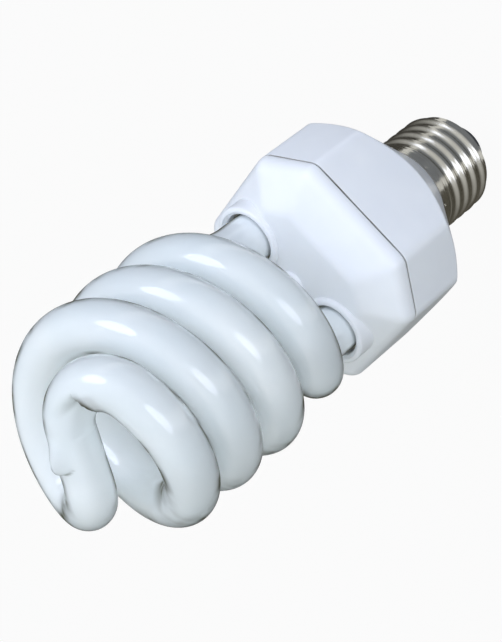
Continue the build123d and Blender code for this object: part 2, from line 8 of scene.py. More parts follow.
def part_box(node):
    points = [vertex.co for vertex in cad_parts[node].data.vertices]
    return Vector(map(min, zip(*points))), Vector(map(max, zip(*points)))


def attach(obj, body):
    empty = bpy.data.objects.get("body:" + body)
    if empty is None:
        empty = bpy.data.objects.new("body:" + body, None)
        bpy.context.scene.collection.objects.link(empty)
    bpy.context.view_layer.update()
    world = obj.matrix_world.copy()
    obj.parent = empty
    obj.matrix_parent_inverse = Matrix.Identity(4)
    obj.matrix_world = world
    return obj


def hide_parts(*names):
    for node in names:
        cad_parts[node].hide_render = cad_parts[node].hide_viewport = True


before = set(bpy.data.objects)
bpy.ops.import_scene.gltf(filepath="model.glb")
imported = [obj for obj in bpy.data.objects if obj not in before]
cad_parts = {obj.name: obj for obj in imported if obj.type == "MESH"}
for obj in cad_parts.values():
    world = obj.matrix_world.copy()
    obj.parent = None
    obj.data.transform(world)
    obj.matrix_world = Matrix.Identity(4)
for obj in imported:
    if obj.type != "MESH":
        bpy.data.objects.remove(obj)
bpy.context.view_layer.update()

# Compact fluorescent lamp, standing on its centre contact with the spiral up. Lengths are metres,
# and the sizes below are written in millimetres times mm.
mm = 0.001


# Cap insulator
# Black glass, pressed molten through the end of the screw cap. It keeps the contact away from the
# shell and shows as a low cone between the two.
def rounded(corners, steps=6):
    """Points of a half section given as (radius, height, rounding) corners, with arcs at the corners."""
    spots = [Vector((x, z)) for x, z, rounding in corners]
    points = [spots[0]]
    for before, spot, after, (x, z, rounding) in zip(spots, spots[1:], spots[2:], corners[1:]):
        if rounding == 0:
            points.append(spot)
            continue
        back, ahead = (before - spot).normalized(), (after - spot).normalized()
        half = back.angle(ahead) / 2
        middle = spot + (back + ahead).normalized() * rounding / sin(half)
        reach = rounding * cos(half) / sin(half)
        first, last = spot + back * reach - middle, spot + ahead * reach - middle
        points += [middle + first.slerp(last, step / steps) * rounding for step in range(steps + 1)]
    return points + [spots[-1]]


def turned(mesh, points, middle=(0, 0, 0), segments=96, first=0.0):
    """Spin a closed half section about a vertical axis, from the angle first all the way round."""
    corners = [mesh.verts.new(Vector(middle) + Vector((point.x * cos(first), point.x * sin(first), point.y)))
               for point in points]
    edges = [mesh.edges.new(pair) for pair in zip(corners, corners[1:] + corners[:1])]
    bmesh.ops.spin(mesh, geom=corners + edges, cent=middle, axis=(0, 0, 1), angle=2 * pi,
                   steps=segments, use_merge=True)


def piece(name, mesh, finish, crease=35):
    """Make an object of a mesh, smooth but for edges that turn by more than crease degrees."""
    bmesh.ops.remove_doubles(mesh, verts=mesh.verts, dist=0.001 * mm)
    bmesh.ops.recalc_face_normals(mesh, faces=mesh.faces)
    # Corners and faces are put in the order of their places, so that every run makes the same mesh
    for number, corner in enumerate(sorted(mesh.verts, key=lambda corner: tuple(corner.co))):
        corner.index = number
    for number, face in enumerate(sorted(mesh.faces, key=lambda face: tuple(face.calc_center_median()))):
        face.index = number
        face.smooth = True
    mesh.verts.sort()
    mesh.faces.sort()
    for edge in mesh.edges:
        edge.smooth = len(edge.link_faces) == 2 and edge.calc_face_angle() < radians(crease)
    made = bpy.data.objects.new(name, bpy.data.meshes.new(name))
    mesh.to_mesh(made.data)
    mesh.free()
    made.data.materials.append(finish)
    bpy.context.collection.objects.link(made)
    return made


def seat(made, slot, *nodes):
    """Put a finished piece in the place of its CAD nodes."""
    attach(made, "root")
    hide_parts(*nodes)


def colour(code):
    """A linear colour from an sRGB hex code."""
    parts = [int(code[place:place + 2], 16) / 255 for place in (0, 2, 4)]
    return (*[part / 12.92 if part < 0.04045 else ((part + 0.055) / 1.055) ** 2.4 for part in parts], 1)


def material(name):
    """A new node material and its shader."""
    made = bpy.data.materials.new(name)
    made.use_nodes = True
    return made, made.node_tree.nodes["Principled BSDF"]


def add_node(shader, kind, inputs=None, **settings):
    """Add a node to the shader's tree. Each input is given a value or the output to link it to."""
    tree = shader.id_data
    node = tree.nodes.new(kind)
    for name, value in settings.items():
        setattr(node, name, value)
    for name, source in (inputs or {}).items():
        if isinstance(source, bpy.types.NodeSocket):
            tree.links.new(source, node.inputs[name])
        else:
            node.inputs[name].default_value = source
    return node


def wire(shader, **sources):
    """Link the shader's inputs to their sources."""
    for name, source in sources.items():
        shader.id_data.links.new(source, shader.inputs[name.replace("_", " ")])


insulator_low, insulator_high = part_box("cap_insulator")
shell_low, shell_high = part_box("cap_shell")
contact_low, contact_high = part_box("centre_contact")
insulator_radius = 10.2 * mm
insulator_rounding = 0.4 * mm
cone_edge = 0.9 * mm
cone_rounding = 0.6 * mm
stem_radius = 1.6 * mm
contact_border = 1.5 * mm
rim_opening = 9.4 * mm
sheet = 0.4 * mm
mesh = bmesh.new()
turned(mesh, rounded([
    (stem_radius, insulator_low.z, 0),
    (contact_high.x + contact_border, insulator_low.z, insulator_rounding),
    (insulator_radius, shell_low.z - cone_edge, cone_rounding),
    (insulator_radius, shell_low.z, 0),
    (rim_opening, shell_low.z, 0),
    (rim_opening, shell_low.z + sheet, 0),
    (insulator_high.x, shell_low.z + sheet, 0),
    (insulator_high.x, insulator_high.z, insulator_rounding),
    (stem_radius, insulator_high.z, 0),
]))
# Most values of a noise lie in this span
noise_span = {"From Min": 0.3, "From Max": 0.7}
# Black glass with a few paler clouds and a slightly wavy, shiny skin. A mix of colours takes them at its
# inputs 6 and 7 and gives its output 2.
black_glass, shader = material("black_glass")
spot = add_node(shader, "ShaderNodeTexCoord").outputs["Object"]
clouds = add_node(shader, "ShaderNodeTexNoise", {"Vector": spot, "Scale": 1 / (3 * mm)}).outputs["Fac"]
share = add_node(shader, "ShaderNodeMapRange", {"Value": clouds, **noise_span})
tone = add_node(shader, "ShaderNodeMix", {
    "Factor": share.outputs["Result"], 6: colour("060607"), 7: colour("0F1012"),
}, data_type="RGBA")
grit = add_node(shader, "ShaderNodeTexNoise", {"Vector": spot, "Scale": 1 / (0.8 * mm)}).outputs["Fac"]
dullness = add_node(shader, "ShaderNodeMapRange", {
    "Value": grit, **noise_span, "To Min": 0.3, "To Max": 0.45,
})
waves = add_node(shader, "ShaderNodeBump", {"Height": clouds, "Distance": 0.05 * mm})
wire(shader, Base_Color=tone.outputs[2], Roughness=dullness.outputs["Result"],
     Normal=waves.outputs["Normal"])
shader.inputs["Specular IOR Level"].default_value = 0.15
insulator = piece("cap_insulator_glass", mesh, black_glass)
seat(insulator, "black_glass", "cap_insulator")

# Centre contact
# A turned brass disc on a hollow stem that is held in the glass. The wire from the board comes down
# the stem.
contact_thickness = insulator_low.z - contact_low.z
contact_rounding = 0.4 * mm
contact_back_rounding = 0.1 * mm
stem_bore = 0.9 * mm
tool_mark = 0.35 * mm
mesh = bmesh.new()
turned(mesh, rounded([
    (stem_bore, contact_low.z, 0),
    (contact_high.x, contact_low.z, contact_rounding),
    (contact_high.x, contact_low.z + contact_thickness, contact_back_rounding),
    (stem_radius, contact_low.z + contact_thickness, 0),
    (stem_radius, contact_high.z, 0),
    (stem_bore, contact_high.z, 0),
]))
# Turned brass: warm metal with fine rings from the tool, drawn coarse enough to show. A wave of
# scale 1 repeats about every 0.3.
brass, shader = material("turned_brass")
spot = add_node(shader, "ShaderNodeTexCoord").outputs["Object"]
clouds = add_node(shader, "ShaderNodeTexNoise", {"Vector": spot, "Scale": 1 / (1.5 * mm)}).outputs["Fac"]
share = add_node(shader, "ShaderNodeMapRange", {"Value": clouds, **noise_span})
tone = add_node(shader, "ShaderNodeMix", {
    "Factor": share.outputs["Result"], 6: colour("B79B63"), 7: colour("D0BA86"),
}, data_type="RGBA")
grit = add_node(shader, "ShaderNodeTexNoise", {"Vector": spot, "Scale": 1 / (0.4 * mm)}).outputs["Fac"]
dullness = add_node(shader, "ShaderNodeMapRange", {
    "Value": grit, **noise_span, "To Min": 0.22, "To Max": 0.4,
})
rings = add_node(shader, "ShaderNodeTexWave", {"Vector": spot, "Scale": 0.3 / tool_mark, "Distortion": 0.6},
                 wave_type="RINGS", rings_direction="Z")
ridges = add_node(shader, "ShaderNodeBump", {"Height": rings.outputs["Fac"], "Distance": 0.01 * mm})
wire(shader, Base_Color=tone.outputs[2], Roughness=dullness.outputs["Result"],
     Normal=ridges.outputs["Normal"])
shader.inputs["Metallic"].default_value = 1.0
contact = piece("centre_contact_disc", mesh, brass)
seat(contact, "contact_metal", "centre_contact")

# Contact solder
# A drop of tin solder, melted on last. It closes the mouth of the contact's stem and holds the wire
# in it.
solder_low, solder_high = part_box("contact_solder")
drop_gap = 0.02 * mm
drop_flat = 0.55 * mm
drop_rise = 0.3 * mm
drop_rounding = 0.3 * mm
drop_side_rounding = 0.2 * mm
mesh = bmesh.new()
turned(mesh, rounded([
    (0, solder_low.z + drop_gap, 0),
    (drop_flat, solder_low.z + drop_gap, drop_rounding),
    (stem_bore, solder_low.z + drop_rise, drop_side_rounding),
    (stem_bore, solder_high.z, 0),
    (0, solder_high.z, 0),
]), segments=48)
# Tin solder: dull bright metal with a lumpy skin
solder, shader = material("tin_solder")
spot = add_node(shader, "ShaderNodeTexCoord").outputs["Object"]
lumps = add_node(shader, "ShaderNodeTexNoise", {"Vector": spot, "Scale": 1 / (0.5 * mm)}).outputs["Fac"]
share = add_node(shader, "ShaderNodeMapRange", {"Value": lumps, **noise_span})
tone = add_node(shader, "ShaderNodeMix", {
    "Factor": share.outputs["Result"], 6: colour("9A9C9C"), 7: colour("C6C8C8"),
}, data_type="RGBA")
dullness = add_node(shader, "ShaderNodeMapRange", {
    "Value": lumps, **noise_span, "To Min": 0.25, "To Max": 0.45,
})
ridges = add_node(shader, "ShaderNodeBump", {"Height": lumps, "Distance": 0.06 * mm})
wire(shader, Base_Color=tone.outputs[2], Roughness=dullness.outputs["Result"],
     Normal=ridges.outputs["Normal"])
shader.inputs["Metallic"].default_value = 1.0
drop = piece("contact_solder_drop", mesh, solder)
seat(drop, "solder", "contact_solder")


# Screw cap shell
# Thin nickel-plated sheet, rolled to a round thread with a plain skirt that is staked to the
# housing's neck. Every cross-section of the thread is one circle, set off the axis and turned with
# height.
def ease(amount):
    """A smooth step from 0 to 1."""
    amount = min(max(amount, 0), 1)
    return amount * amount * (3 - 2 * amount)


def ring_of(mesh, segments, radius, height):
    """A closed ring of edges about Z to start a skin from."""
    corners = bmesh.ops.create_circle(mesh, segments=segments, radius=radius)["verts"]
    bmesh.ops.translate(mesh, verts=corners, vec=(0, 0, height))
    return list(dict.fromkeys(edge for corner in corners for edge in corner.link_edges))


def grow(mesh, ring, place):
    """Extrude a ring of edges, put each new corner where place() says and return the new ring."""
    grown = bmesh.ops.extrude_edge_only(mesh, edges=ring)["geom"]
    corners = {part for part in grown if isinstance(part, bmesh.types.BMVert)}
    for corner in corners:
        corner.co = place(corner.co)
    return [part for part in grown
            if isinstance(part, bmesh.types.BMEdge) and corners.issuperset(part.verts)]


thread_pitch = 3.62 * mm
thread_depth = 1.1 * mm
run_in = 2.2 * mm
run_out = 1.4 * mm
crest_drop = 0.1 * mm
skirt_radius = shell_high.x
mean_radius = skirt_radius - crest_drop - thread_depth / 2
rim_radius = mean_radius - thread_depth / 2
skirt_start = shell_high.z - 2.0 * mm
edge_roll = 0.35 * mm
level = 0.15 * mm
shell_segments = 192
stake_count = 8
stake_radius = 0.8 * mm
stake_depth = 0.4 * mm
stake_height = shell_high.z - 0.8 * mm
streak_stretch = 24


def shell_circle(height, inset):
    """Middle and radius of the shell's circle at a height."""
    begun = ease((height - shell_low.z) / run_in)
    ended = ease((height - skirt_start + run_out) / run_out)
    turn = 2 * pi * (height - shell_low.z + run_in) / thread_pitch
    off = thread_depth / 2 * begun * (1 - ended)
    radius = rim_radius + (mean_radius - rim_radius) * begun + (skirt_radius - mean_radius) * ended
    rolled = max(0, height - shell_high.z + edge_roll)
    radius -= edge_roll - sqrt(edge_roll ** 2 - rolled ** 2)
    return Vector((off * cos(turn), off * sin(turn), height)), radius - inset


def stake_dent(spot):
    """How far the skirt is punched in at a spot."""
    angle = atan2(spot.y, spot.x) * stake_count / (2 * pi)
    aside = (angle - round(angle)) * 2 * pi / stake_count * skirt_radius
    share = 1 - (aside ** 2 + (spot.z - stake_height) ** 2) / stake_radius ** 2
    return stake_depth * max(0, share) ** 2


mesh = bmesh.new()
levels = round((shell_high.z - shell_low.z) / level)
heights = [(shell_low.z + (shell_high.z - shell_low.z) * step / levels, 0) for step in range(levels, -1, -1)]
heights += [(max(height, shell_low.z + sheet), sheet) for height, inset in heights[::-2]]
start = ring_of(mesh, shell_segments, shell_circle(*heights[0])[1], shell_high.z)
ring = start
for (last_height, last_inset), (height, inset) in zip(heights, heights[1:]):
    last_middle, last_radius = shell_circle(last_height, last_inset)
    middle, radius = shell_circle(height, inset)
    if last_inset < inset:
        for rim_height in (shell_low.z, shell_low.z + sheet):
            ring = grow(mesh, ring, lambda spot: Vector((*(spot.xy.normalized() * rim_opening), rim_height)))
        last_middle, last_radius = Vector((0, 0, shell_low.z + sheet)), rim_opening
    ring = grow(mesh, ring, lambda spot: middle + (spot - last_middle) * radius / last_radius)
bmesh.ops.bridge_loops(mesh, edges=start + ring)
for corner in mesh.verts:
    corner.co.xy -= corner.co.xy.normalized() * stake_dent(corner.co)
# Bright nickel plate: grey metal with a warm cast, drawn streaks round the cap and a few dull patches
nickel, shader = material("nickel_plate")
spot = add_node(shader, "ShaderNodeTexCoord").outputs["Object"]
patches = add_node(shader, "ShaderNodeTexNoise", {"Vector": spot, "Scale": 1 / (5 * mm)}).outputs["Fac"]
share = add_node(shader, "ShaderNodeMapRange", {"Value": patches, **noise_span})
tone = add_node(shader, "ShaderNodeMix", {
    "Factor": share.outputs["Result"], 6: colour("BAB8AF"), 7: colour("CAC8BF"),
}, data_type="RGBA")
drawn = add_node(shader, "ShaderNodeMapping", {
    "Vector": spot, "Scale": (1 / streak_stretch, 1 / streak_stretch, 1),
})
streaks = add_node(shader, "ShaderNodeTexNoise", {
    "Vector": drawn.outputs["Vector"], "Scale": 1 / (0.35 * mm), "Detail": 3.0,
}).outputs["Fac"]
dullness = add_node(shader, "ShaderNodeMapRange", {
    "Value": streaks, **noise_span, "To Min": 0.14, "To Max": 0.26,
})
ridges = add_node(shader, "ShaderNodeBump", {"Height": streaks, "Distance": 0.014 * mm})
wire(shader, Base_Color=tone.outputs[2], Roughness=dullness.outputs["Result"],
     Normal=ridges.outputs["Normal"])
shader.inputs["Metallic"].default_value = 1.0
shell = piece("cap_shell_sheet", mesh, nickel)
seat(shell, "nickel_plate", "cap_shell")


# Ballast housing
# A moulded cup of glossy white plastic with an octagonal wall. Its rear is turned to a cone, so the
# flats end in curves, and a neck inside the screw cap carries it.
def octagon(angle, inset, rounding):
    """Distance from the axis to the outline of the octagon, moved in by inset, at an angle."""
    flat = housing_half - inset
    corner = (2 * housing_half - corner_cut) / sqrt(2) - inset
    turn = abs((angle + pi / 4) % (pi / 2) - pi / 4)
    middle = Vector((flat - rounding, sqrt(2) * (corner - rounding) - flat + rounding))
    if turn <= atan2(middle.y, flat):
        return flat / cos(turn)
    if turn >= atan2(middle.y + rounding / sqrt(2), middle.x + rounding / sqrt(2)):
        return corner / cos(pi / 4 - turn)
    along = middle.dot(Vector((cos(turn), sin(turn))))
    return along + sqrt(along ** 2 - middle.length_squared + rounding ** 2)


def skin(mesh, section, segments):
    """Grow a skin round Z whose half section depends on the angle and return its first and last ring."""
    sections = {}

    def spot_at(spot, number):
        key = round(atan2(spot.y, spot.x) * segments / (2 * pi)) % segments
        angle = 2 * pi * key / segments
        if key not in sections:
            sections[key] = section(angle)
        point = sections[key][number]
        return Vector((point.x * cos(angle), point.x * sin(angle), point.y))

    start = ring_of(mesh, segments, housing_half, 0)
    for corner in {corner for edge in start for corner in edge.verts}:
        corner.co = spot_at(corner.co, 0)
    ring = start
    for number in range(1, len(sections[0])):
        ring = grow(mesh, ring, lambda spot: spot_at(spot, number))
    return start, ring


housing_low, housing_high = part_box("ballast_housing")
cover_low, cover_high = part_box("tube_cover")
housing_half = housing_high.x
corner_cut = 10.95 * mm
edge_rounding = 4.0 * mm
seam = housing_high.z
seam_gap = 0.3 * mm
seam_rounding = 0.25 * mm
# Width of the painted seam shade beyond the gap on each side
seam_shade_border = 0.1 * mm
wall = 1.6 * mm
cone_rise = 1.1
cone_radius = 13.2 * mm
rim_rounding = 1.2 * mm
neck_clearance = 0.3 * mm
neck_wall = 1.5 * mm
neck_step = skirt_radius - sheet - neck_clearance
neck_radius = insulator_high.x
neck_bore = neck_radius - neck_wall
inner_cone = cone_radius - wall * sqrt(1 + cone_rise ** 2) / cone_rise
cone_rings = 6
moulding_segments = 480


def housing_section(angle):
    """Half section of the housing at an angle, from the seam round the outside and back inside."""
    outside = octagon(angle, 0, edge_rounding)
    inside = octagon(angle, wall, edge_rounding - wall)
    rim = shell_high.z + (outside - cone_radius) * cone_rise
    inner_rim = shell_high.z + (inside - inner_cone) * cone_rise
    return rounded([
        (inside, seam - seam_gap / 2, 0),
        (outside, seam - seam_gap / 2, seam_rounding),
        (outside, rim, rim_rounding),
        *[(cone_radius + (outside - cone_radius) * step / cone_rings,
           shell_high.z + (rim - shell_high.z) * step / cone_rings, 0)
          for step in range(cone_rings - 1, -1, -1)],
        (neck_step, shell_high.z, 0),
        (neck_step, skirt_start, 0),
        (neck_radius, skirt_start, 0),
        (neck_radius, housing_low.z, 0),
        (neck_bore, housing_low.z, 0),
        (neck_bore, shell_high.z, 0),
        (inner_cone, shell_high.z, 0),
        (inside, inner_rim, 0),
    ])


mesh = bmesh.new()
start, ring = skin(mesh, housing_section, moulding_segments)
bmesh.ops.bridge_loops(mesh, edges=start + ring)
# Glossy white plastic: faint cloudiness, the fine orange peel of a moulded skin, and painted shade in a dark
# band along the seam
white_plastic, shader = material("moulded_white_plastic")
spot = add_node(shader, "ShaderNodeTexCoord").outputs["Object"]
clouds = add_node(shader, "ShaderNodeTexNoise", {"Vector": spot, "Scale": 1 / (12 * mm)}).outputs["Fac"]
share = add_node(shader, "ShaderNodeMapRange", {"Value": clouds, **noise_span})
tone = add_node(shader, "ShaderNodeMix", {
    "Factor": share.outputs["Result"], 6: colour("EEF0F3"), 7: colour("F3F5F7"),
}, data_type="RGBA")
# Painted shade: a dark band on both mouldings next to the seam, where the gap would be shaded, broken up by
# noise
height = add_node(shader, "ShaderNodeSeparateXYZ", {"Vector": spot}).outputs["Z"]
seam_shade = add_node(shader, "ShaderNodeMath", {
    0: height, 1: seam, 2: seam_gap / 2 + seam_shade_border,
}, operation="COMPARE")
seam_shade_breaks = add_node(shader, "ShaderNodeTexNoise", {"Vector": spot, "Scale": 1 / (18 * mm)}).outputs["Fac"]
seam_shade_breaks = add_node(shader, "ShaderNodeMapRange", {
    "Value": seam_shade_breaks, **noise_span, "To Min": 0.3, "To Max": 1.0,
})
seam_shade = add_node(shader, "ShaderNodeMath", {
    0: seam_shade.outputs[0], 1: seam_shade_breaks.outputs["Result"],
}, operation="MULTIPLY")
tone = add_node(shader, "ShaderNodeMix", {
    "Factor": seam_shade.outputs[0], 6: tone.outputs[2], 7: colour("86827A"),
}, data_type="RGBA")
wear = add_node(shader, "ShaderNodeTexNoise", {"Vector": spot, "Scale": 1 / (7 * mm)}).outputs["Fac"]
dullness = add_node(shader, "ShaderNodeMapRange", {
    "Value": wear, **noise_span, "To Min": 0.28, "To Max": 0.34,
})
peel = add_node(shader, "ShaderNodeTexNoise", {"Vector": spot, "Scale": 1 / (0.5 * mm)}).outputs["Fac"]
ridges = add_node(shader, "ShaderNodeBump", {"Height": peel, "Distance": 0.002 * mm})
wire(shader, Base_Color=tone.outputs[2], Roughness=dullness.outputs["Result"],
     Normal=ridges.outputs["Normal"])
shader.inputs["IOR"].default_value = 1.5
shader.inputs["Subsurface Weight"].default_value = 0.1
shader.inputs["Subsurface Radius"].default_value = (1.0, 0.9, 0.8)
shader.inputs["Subsurface Scale"].default_value = 0.6 * mm
housing = piece("ballast_housing_shell", mesh, white_plastic)
seat(housing, "white_plastic", "ballast_housing")

# Circuit board, what stands on it, and the cement round the legs
# The housing and the cover close them in, so each keeps its CAD shape and gets its own finish:
# the two colours and the size of its speckle, its roughness, how metallic it is, and its pieces.
inner_finishes = {
    # Brown resin paper with a dull face
    "phenolic_paper_board": (("B08A52", "C7A36A", 1.2 * mm), (0.5, 0.7), 0.0, ["circuit_board"]),
    # Bright drawn wire with a thin coat of tin
    "tinned_wire": (("A9ABAB", "CDCFCF", 0.8 * mm), (0.25, 0.4), 1.0, [
        "wrap_post_1", "wrap_post_2", "wrap_post_3", "wrap_post_4",
        "filament_lead_1", "filament_lead_2", "filament_lead_3", "filament_lead_4",
    ]),
    # Soft off-white insulation
    "wire_sleeve": (("D9D4C6", "E6E2D6", 3 * mm), (0.45, 0.6), 0.0, ["contact_lead", "shell_lead"]),
    # Pressed and fired grey powder, dull and gritty
    "grey_ferrite": (("2E2F31", "45474A", 0.5 * mm), (0.6, 0.8), 0.0, [
        "choke_core", "drive_core", "filter_inductor_core",
    ]),
    # Red copper under clear lacquer
    "enamelled_copper": (("8E4A1F", "B4642D", 0.4 * mm), (0.25, 0.4), 0.8, [
        "choke_winding", "drive_winding_1", "drive_winding_2", "drive_winding_3", "filter_inductor_winding",
    ]),
    # Black moulding with a satin skin
    "bobbin_plastic": (("1E2022", "2B2D30", 2 * mm), (0.4, 0.55), 0.0, ["choke_bobbin"]),
    # Shrunk blue film, smooth and shiny
    "capacitor_sleeve": (("16213A", "1F2E4D", 4 * mm), (0.3, 0.45), 0.0, ["smoothing_capacitor"]),
    # Red-brown lacquer that was dipped, with a flowing skin
    "capacitor_dip": (("8C2F22", "A63B2A", 1.5 * mm), (0.25, 0.4), 0.0, [
        "resonant_capacitor", "blocking_capacitor", "starting_capacitor",
    ]),
    # Black resin with a fine matt grain
    "moulded_package": (("17181A", "242629", 0.4 * mm), (0.55, 0.7), 0.0, [
        "transistor_1", "transistor_2", "trigger_diode",
        "rectifier_diode_1", "rectifier_diode_2", "rectifier_diode_3", "rectifier_diode_4",
    ]),
    # Tan lacquer with a soft shine
    "resistor_coat": (("B39B6C", "C6B083", 1 * mm), (0.4, 0.55), 0.0, [
        "fuse_resistor", "resistor_1", "resistor_2", "resistor_3", "resistor_4",
    ]),
    # Pale gritty putty, baked hard
    "leg_cement": (("CFCBB9", "DEDACA", 0.6 * mm), (0.8, 0.95), 0.0, [
        "leg_cement_right", "leg_cement_left",
    ]),
}
relief_share = 1 / 30
for name, ((dark, light, size), (smooth, rough), metallic, nodes) in inner_finishes.items():
    finish, shader = material(name)
    spot = add_node(shader, "ShaderNodeTexCoord").outputs["Object"]
    speckle = add_node(shader, "ShaderNodeTexNoise", {
        "Vector": spot, "Scale": 1 / size, "Detail": 3.0,
    }).outputs["Fac"]
    share = add_node(shader, "ShaderNodeMapRange", {"Value": speckle, **noise_span})
    tone = add_node(shader, "ShaderNodeMix", {
        "Factor": share.outputs["Result"], 6: colour(dark), 7: colour(light),
    }, data_type="RGBA")
    dullness = add_node(shader, "ShaderNodeMapRange", {
        "Value": speckle, **noise_span, "To Min": smooth, "To Max": rough,
    })
    ridges = add_node(shader, "ShaderNodeBump", {"Height": speckle, "Distance": size * relief_share})
    wire(shader, Base_Color=tone.outputs[2], Roughness=dullness.outputs["Result"],
         Normal=ridges.outputs["Normal"])
    shader.inputs["Metallic"].default_value = metallic
    for node in nodes:
        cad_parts[node].data.materials.clear()
        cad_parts[node].data.materials.append(finish)

# Tube cover
# The second moulding, of the same plastic: a sloped front with two raised collars for the legs and a
# small boss between them. It snaps into the housing at the seam.
shoulder = seam + 3.0 * mm
front = seam + 8.7 * mm
front_inset = 9.7 * mm
shoulder_rounding = 4.0 * mm
front_rounding = 5.0 * mm
corner_softening = 1.5 * mm
front_rings = 8
inner_middle = 0.1
lip_inset = 1.8 * mm
lip_wall = 1.2 * mm
collar_rim = cover_high.z
collar_foot = front - 7.2 * mm
collar_bore = 6.75 * mm
collar_radius = 8.7 * mm
collar_rounding = 0.8 * mm
collar_segments = 128
bore_foot = front - 9 * mm
bore_top = collar_rim + 1 * mm
leg_offset = 14.6 * mm
boss_radius = 3.4 * mm
boss_height = 1.2 * mm
boss_rounding = 0.6 * mm


def cover_section(angle):
    """Half section of the cover at an angle: the outside up to its middle, and the inside back down."""
    profile = rounded([
        (wall, seam + seam_gap / 2, 0),
        (0, seam + seam_gap / 2, seam_rounding),
        (0, shoulder, shoulder_rounding),
        (front_inset, front, front_rounding),
        (housing_half, front, 0),
    ], steps=10)
    softening = corner_softening / front_inset
    outline = [Vector((octagon(angle, point.x, edge_rounding - softening * point.x), point.y))
               for point in profile[:-1]]
    edge = outline[-1].x
    outline += [Vector((edge * (1 - step / front_rings), front)) for step in range(1, front_rings)]
    inside = octagon(angle, wall, edge_rounding - wall)
    lip_outside = octagon(angle, lip_inset, edge_rounding - wall)
    lip_inside = octagon(angle, lip_inset + lip_wall, edge_rounding - wall)
    inner = [Vector(point) for point in (
        (inside * inner_middle, front - wall),
        (octagon(angle, front_inset, edge_rounding - corner_softening), front - wall),
        (inside, shoulder - wall / 2),
        (inside, seam + wall),
        (lip_inside, seam + wall),
        (lip_inside, cover_low.z),
        (lip_outside, cover_low.z),
        (lip_outside, seam + seam_gap / 2),
    )]
    return outline, inner


mesh = bmesh.new()
start, top = skin(mesh, lambda angle: cover_section(angle)[0], moulding_segments)
bmesh.ops.contextual_create(mesh, geom=top)
inner_start, inner_end = skin(mesh, lambda angle: cover_section(angle)[1], moulding_segments)
bmesh.ops.contextual_create(mesh, geom=inner_start)
bmesh.ops.bridge_loops(mesh, edges=start + inner_end)
cover = piece("tube_cover_shell", mesh, white_plastic)

# The collars' first edge lies off the X axis, where the cover has edges of its own
collar_turn = 2 * pi / collar_segments / 3
mesh = bmesh.new()
for side in (1, -1):
    turned(mesh, rounded([
        (0, collar_foot, 0),
        (collar_radius, collar_foot, 0),
        (collar_radius, collar_rim, collar_rounding),
        (0, collar_rim, 0),
    ]), (side * leg_offset, 0, 0), collar_segments, collar_turn)
turned(mesh, rounded([
    (0, front - wall / 2, 0),
    (boss_radius, front - wall / 2, 0),
    (boss_radius, front + boss_height, boss_rounding),
    (0, front + boss_height, 0),
]), segments=64, first=collar_turn)
collars = piece("collars", mesh, white_plastic)
mesh = bmesh.new()
for side in (1, -1):
    turned(mesh, rounded([
        (0, bore_foot, 0),
        (collar_bore, bore_foot, 0),
        (collar_bore, collar_rim - collar_rounding, 0),
        (collar_bore + collar_rounding, collar_rim, 0),
        (collar_bore + collar_rounding, bore_top, 0),
        (0, bore_top, 0),
    ]), (side * leg_offset, 0, 0), collar_segments, collar_turn)
bores = piece("bores", mesh, white_plastic)
for tool, operation in ((collars, "UNION"), (bores, "DIFFERENCE")):
    cut = cover.modifiers.new(tool.name, "BOOLEAN")
    cut.object = tool
    cut.operation = operation
    cut.solver = "EXACT"
joined = bpy.data.meshes.new_from_object(cover.evaluated_get(bpy.context.evaluated_depsgraph_get()))
mesh = bmesh.new()
mesh.from_mesh(joined)
for made in (cover, collars, bores):
    bpy.data.objects.remove(made)
cover = piece("tube_cover_shell", mesh, white_plastic, crease=25)
seat(cover, "white_plastic", "tube_cover")

# Discharge tube
# One glass tube, coated inside with white phosphor, bent to a double spiral. Two strands climb from
# their legs and meet in a thinner bridge at the tip, with a small blown nub beside the middle.
tube_low, tube_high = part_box("discharge_tube")
tube_radius = 6.0 * mm
coil_radius = 21.9 * mm
coil_pitch = 28.64 * mm
coil_turn = radians(600)
coil_start_angle = radians(30.75)
leg_top = collar_rim + 4.6 * mm
coil_start = leg_top + 13.0 * mm
coil_end = coil_start + coil_pitch * coil_turn / (2 * pi)
bridge_height = coil_end + 5.8 * mm
bridge_angle = coil_start_angle + coil_turn + radians(45.55)
bridge_half = 5.8 * mm
bridge_share = 0.9
foot_rounding = 3.0 * mm
tube_segments = 56
foot_steps = 6
leg_steps = 12
leg_bend_steps = 14
coil_steps = 260
bend_steps = 24
bridge_bend_steps = 32
bridge_steps = 18


def polar(radius, angle, height):
    """A point at a radius, an angle and a height."""
    return Vector((radius * cos(angle), radius * sin(angle), height))


def arc_meeting_point(start, start_way, end, end_way):
    """Where two touching arcs from start to end meet."""
    span, both = end - start, start_way + end_way
    bend = 2 * (1 - start_way.dot(end_way))
    reach = (sqrt(span.dot(both) ** 2 + bend * span.length_squared) - span.dot(both)) / bend
    return (start + end + (start_way - end_way) * reach) / 2


def arc_step(start, way, end, steps):
    """Matrix of one step along the arc that leaves start in direction way and ends at end."""
    span = end - start
    side = (span - way * span.dot(way)).normalized()
    middle = Matrix.Translation(start + side * span.length_squared / (2 * span.dot(side)))
    angle = 2 * atan2(span.dot(side), span.dot(way)) / steps
    return middle @ Matrix.Rotation(angle, 4, way.cross(side)) @ middle.inverted()


def foot_share(step):
    """Radius of the leg's rounded foot after some steps, as a share of the tube's."""
    return 1 - foot_rounding / tube_radius * (1 - cos(pi / 2 * step / foot_steps))


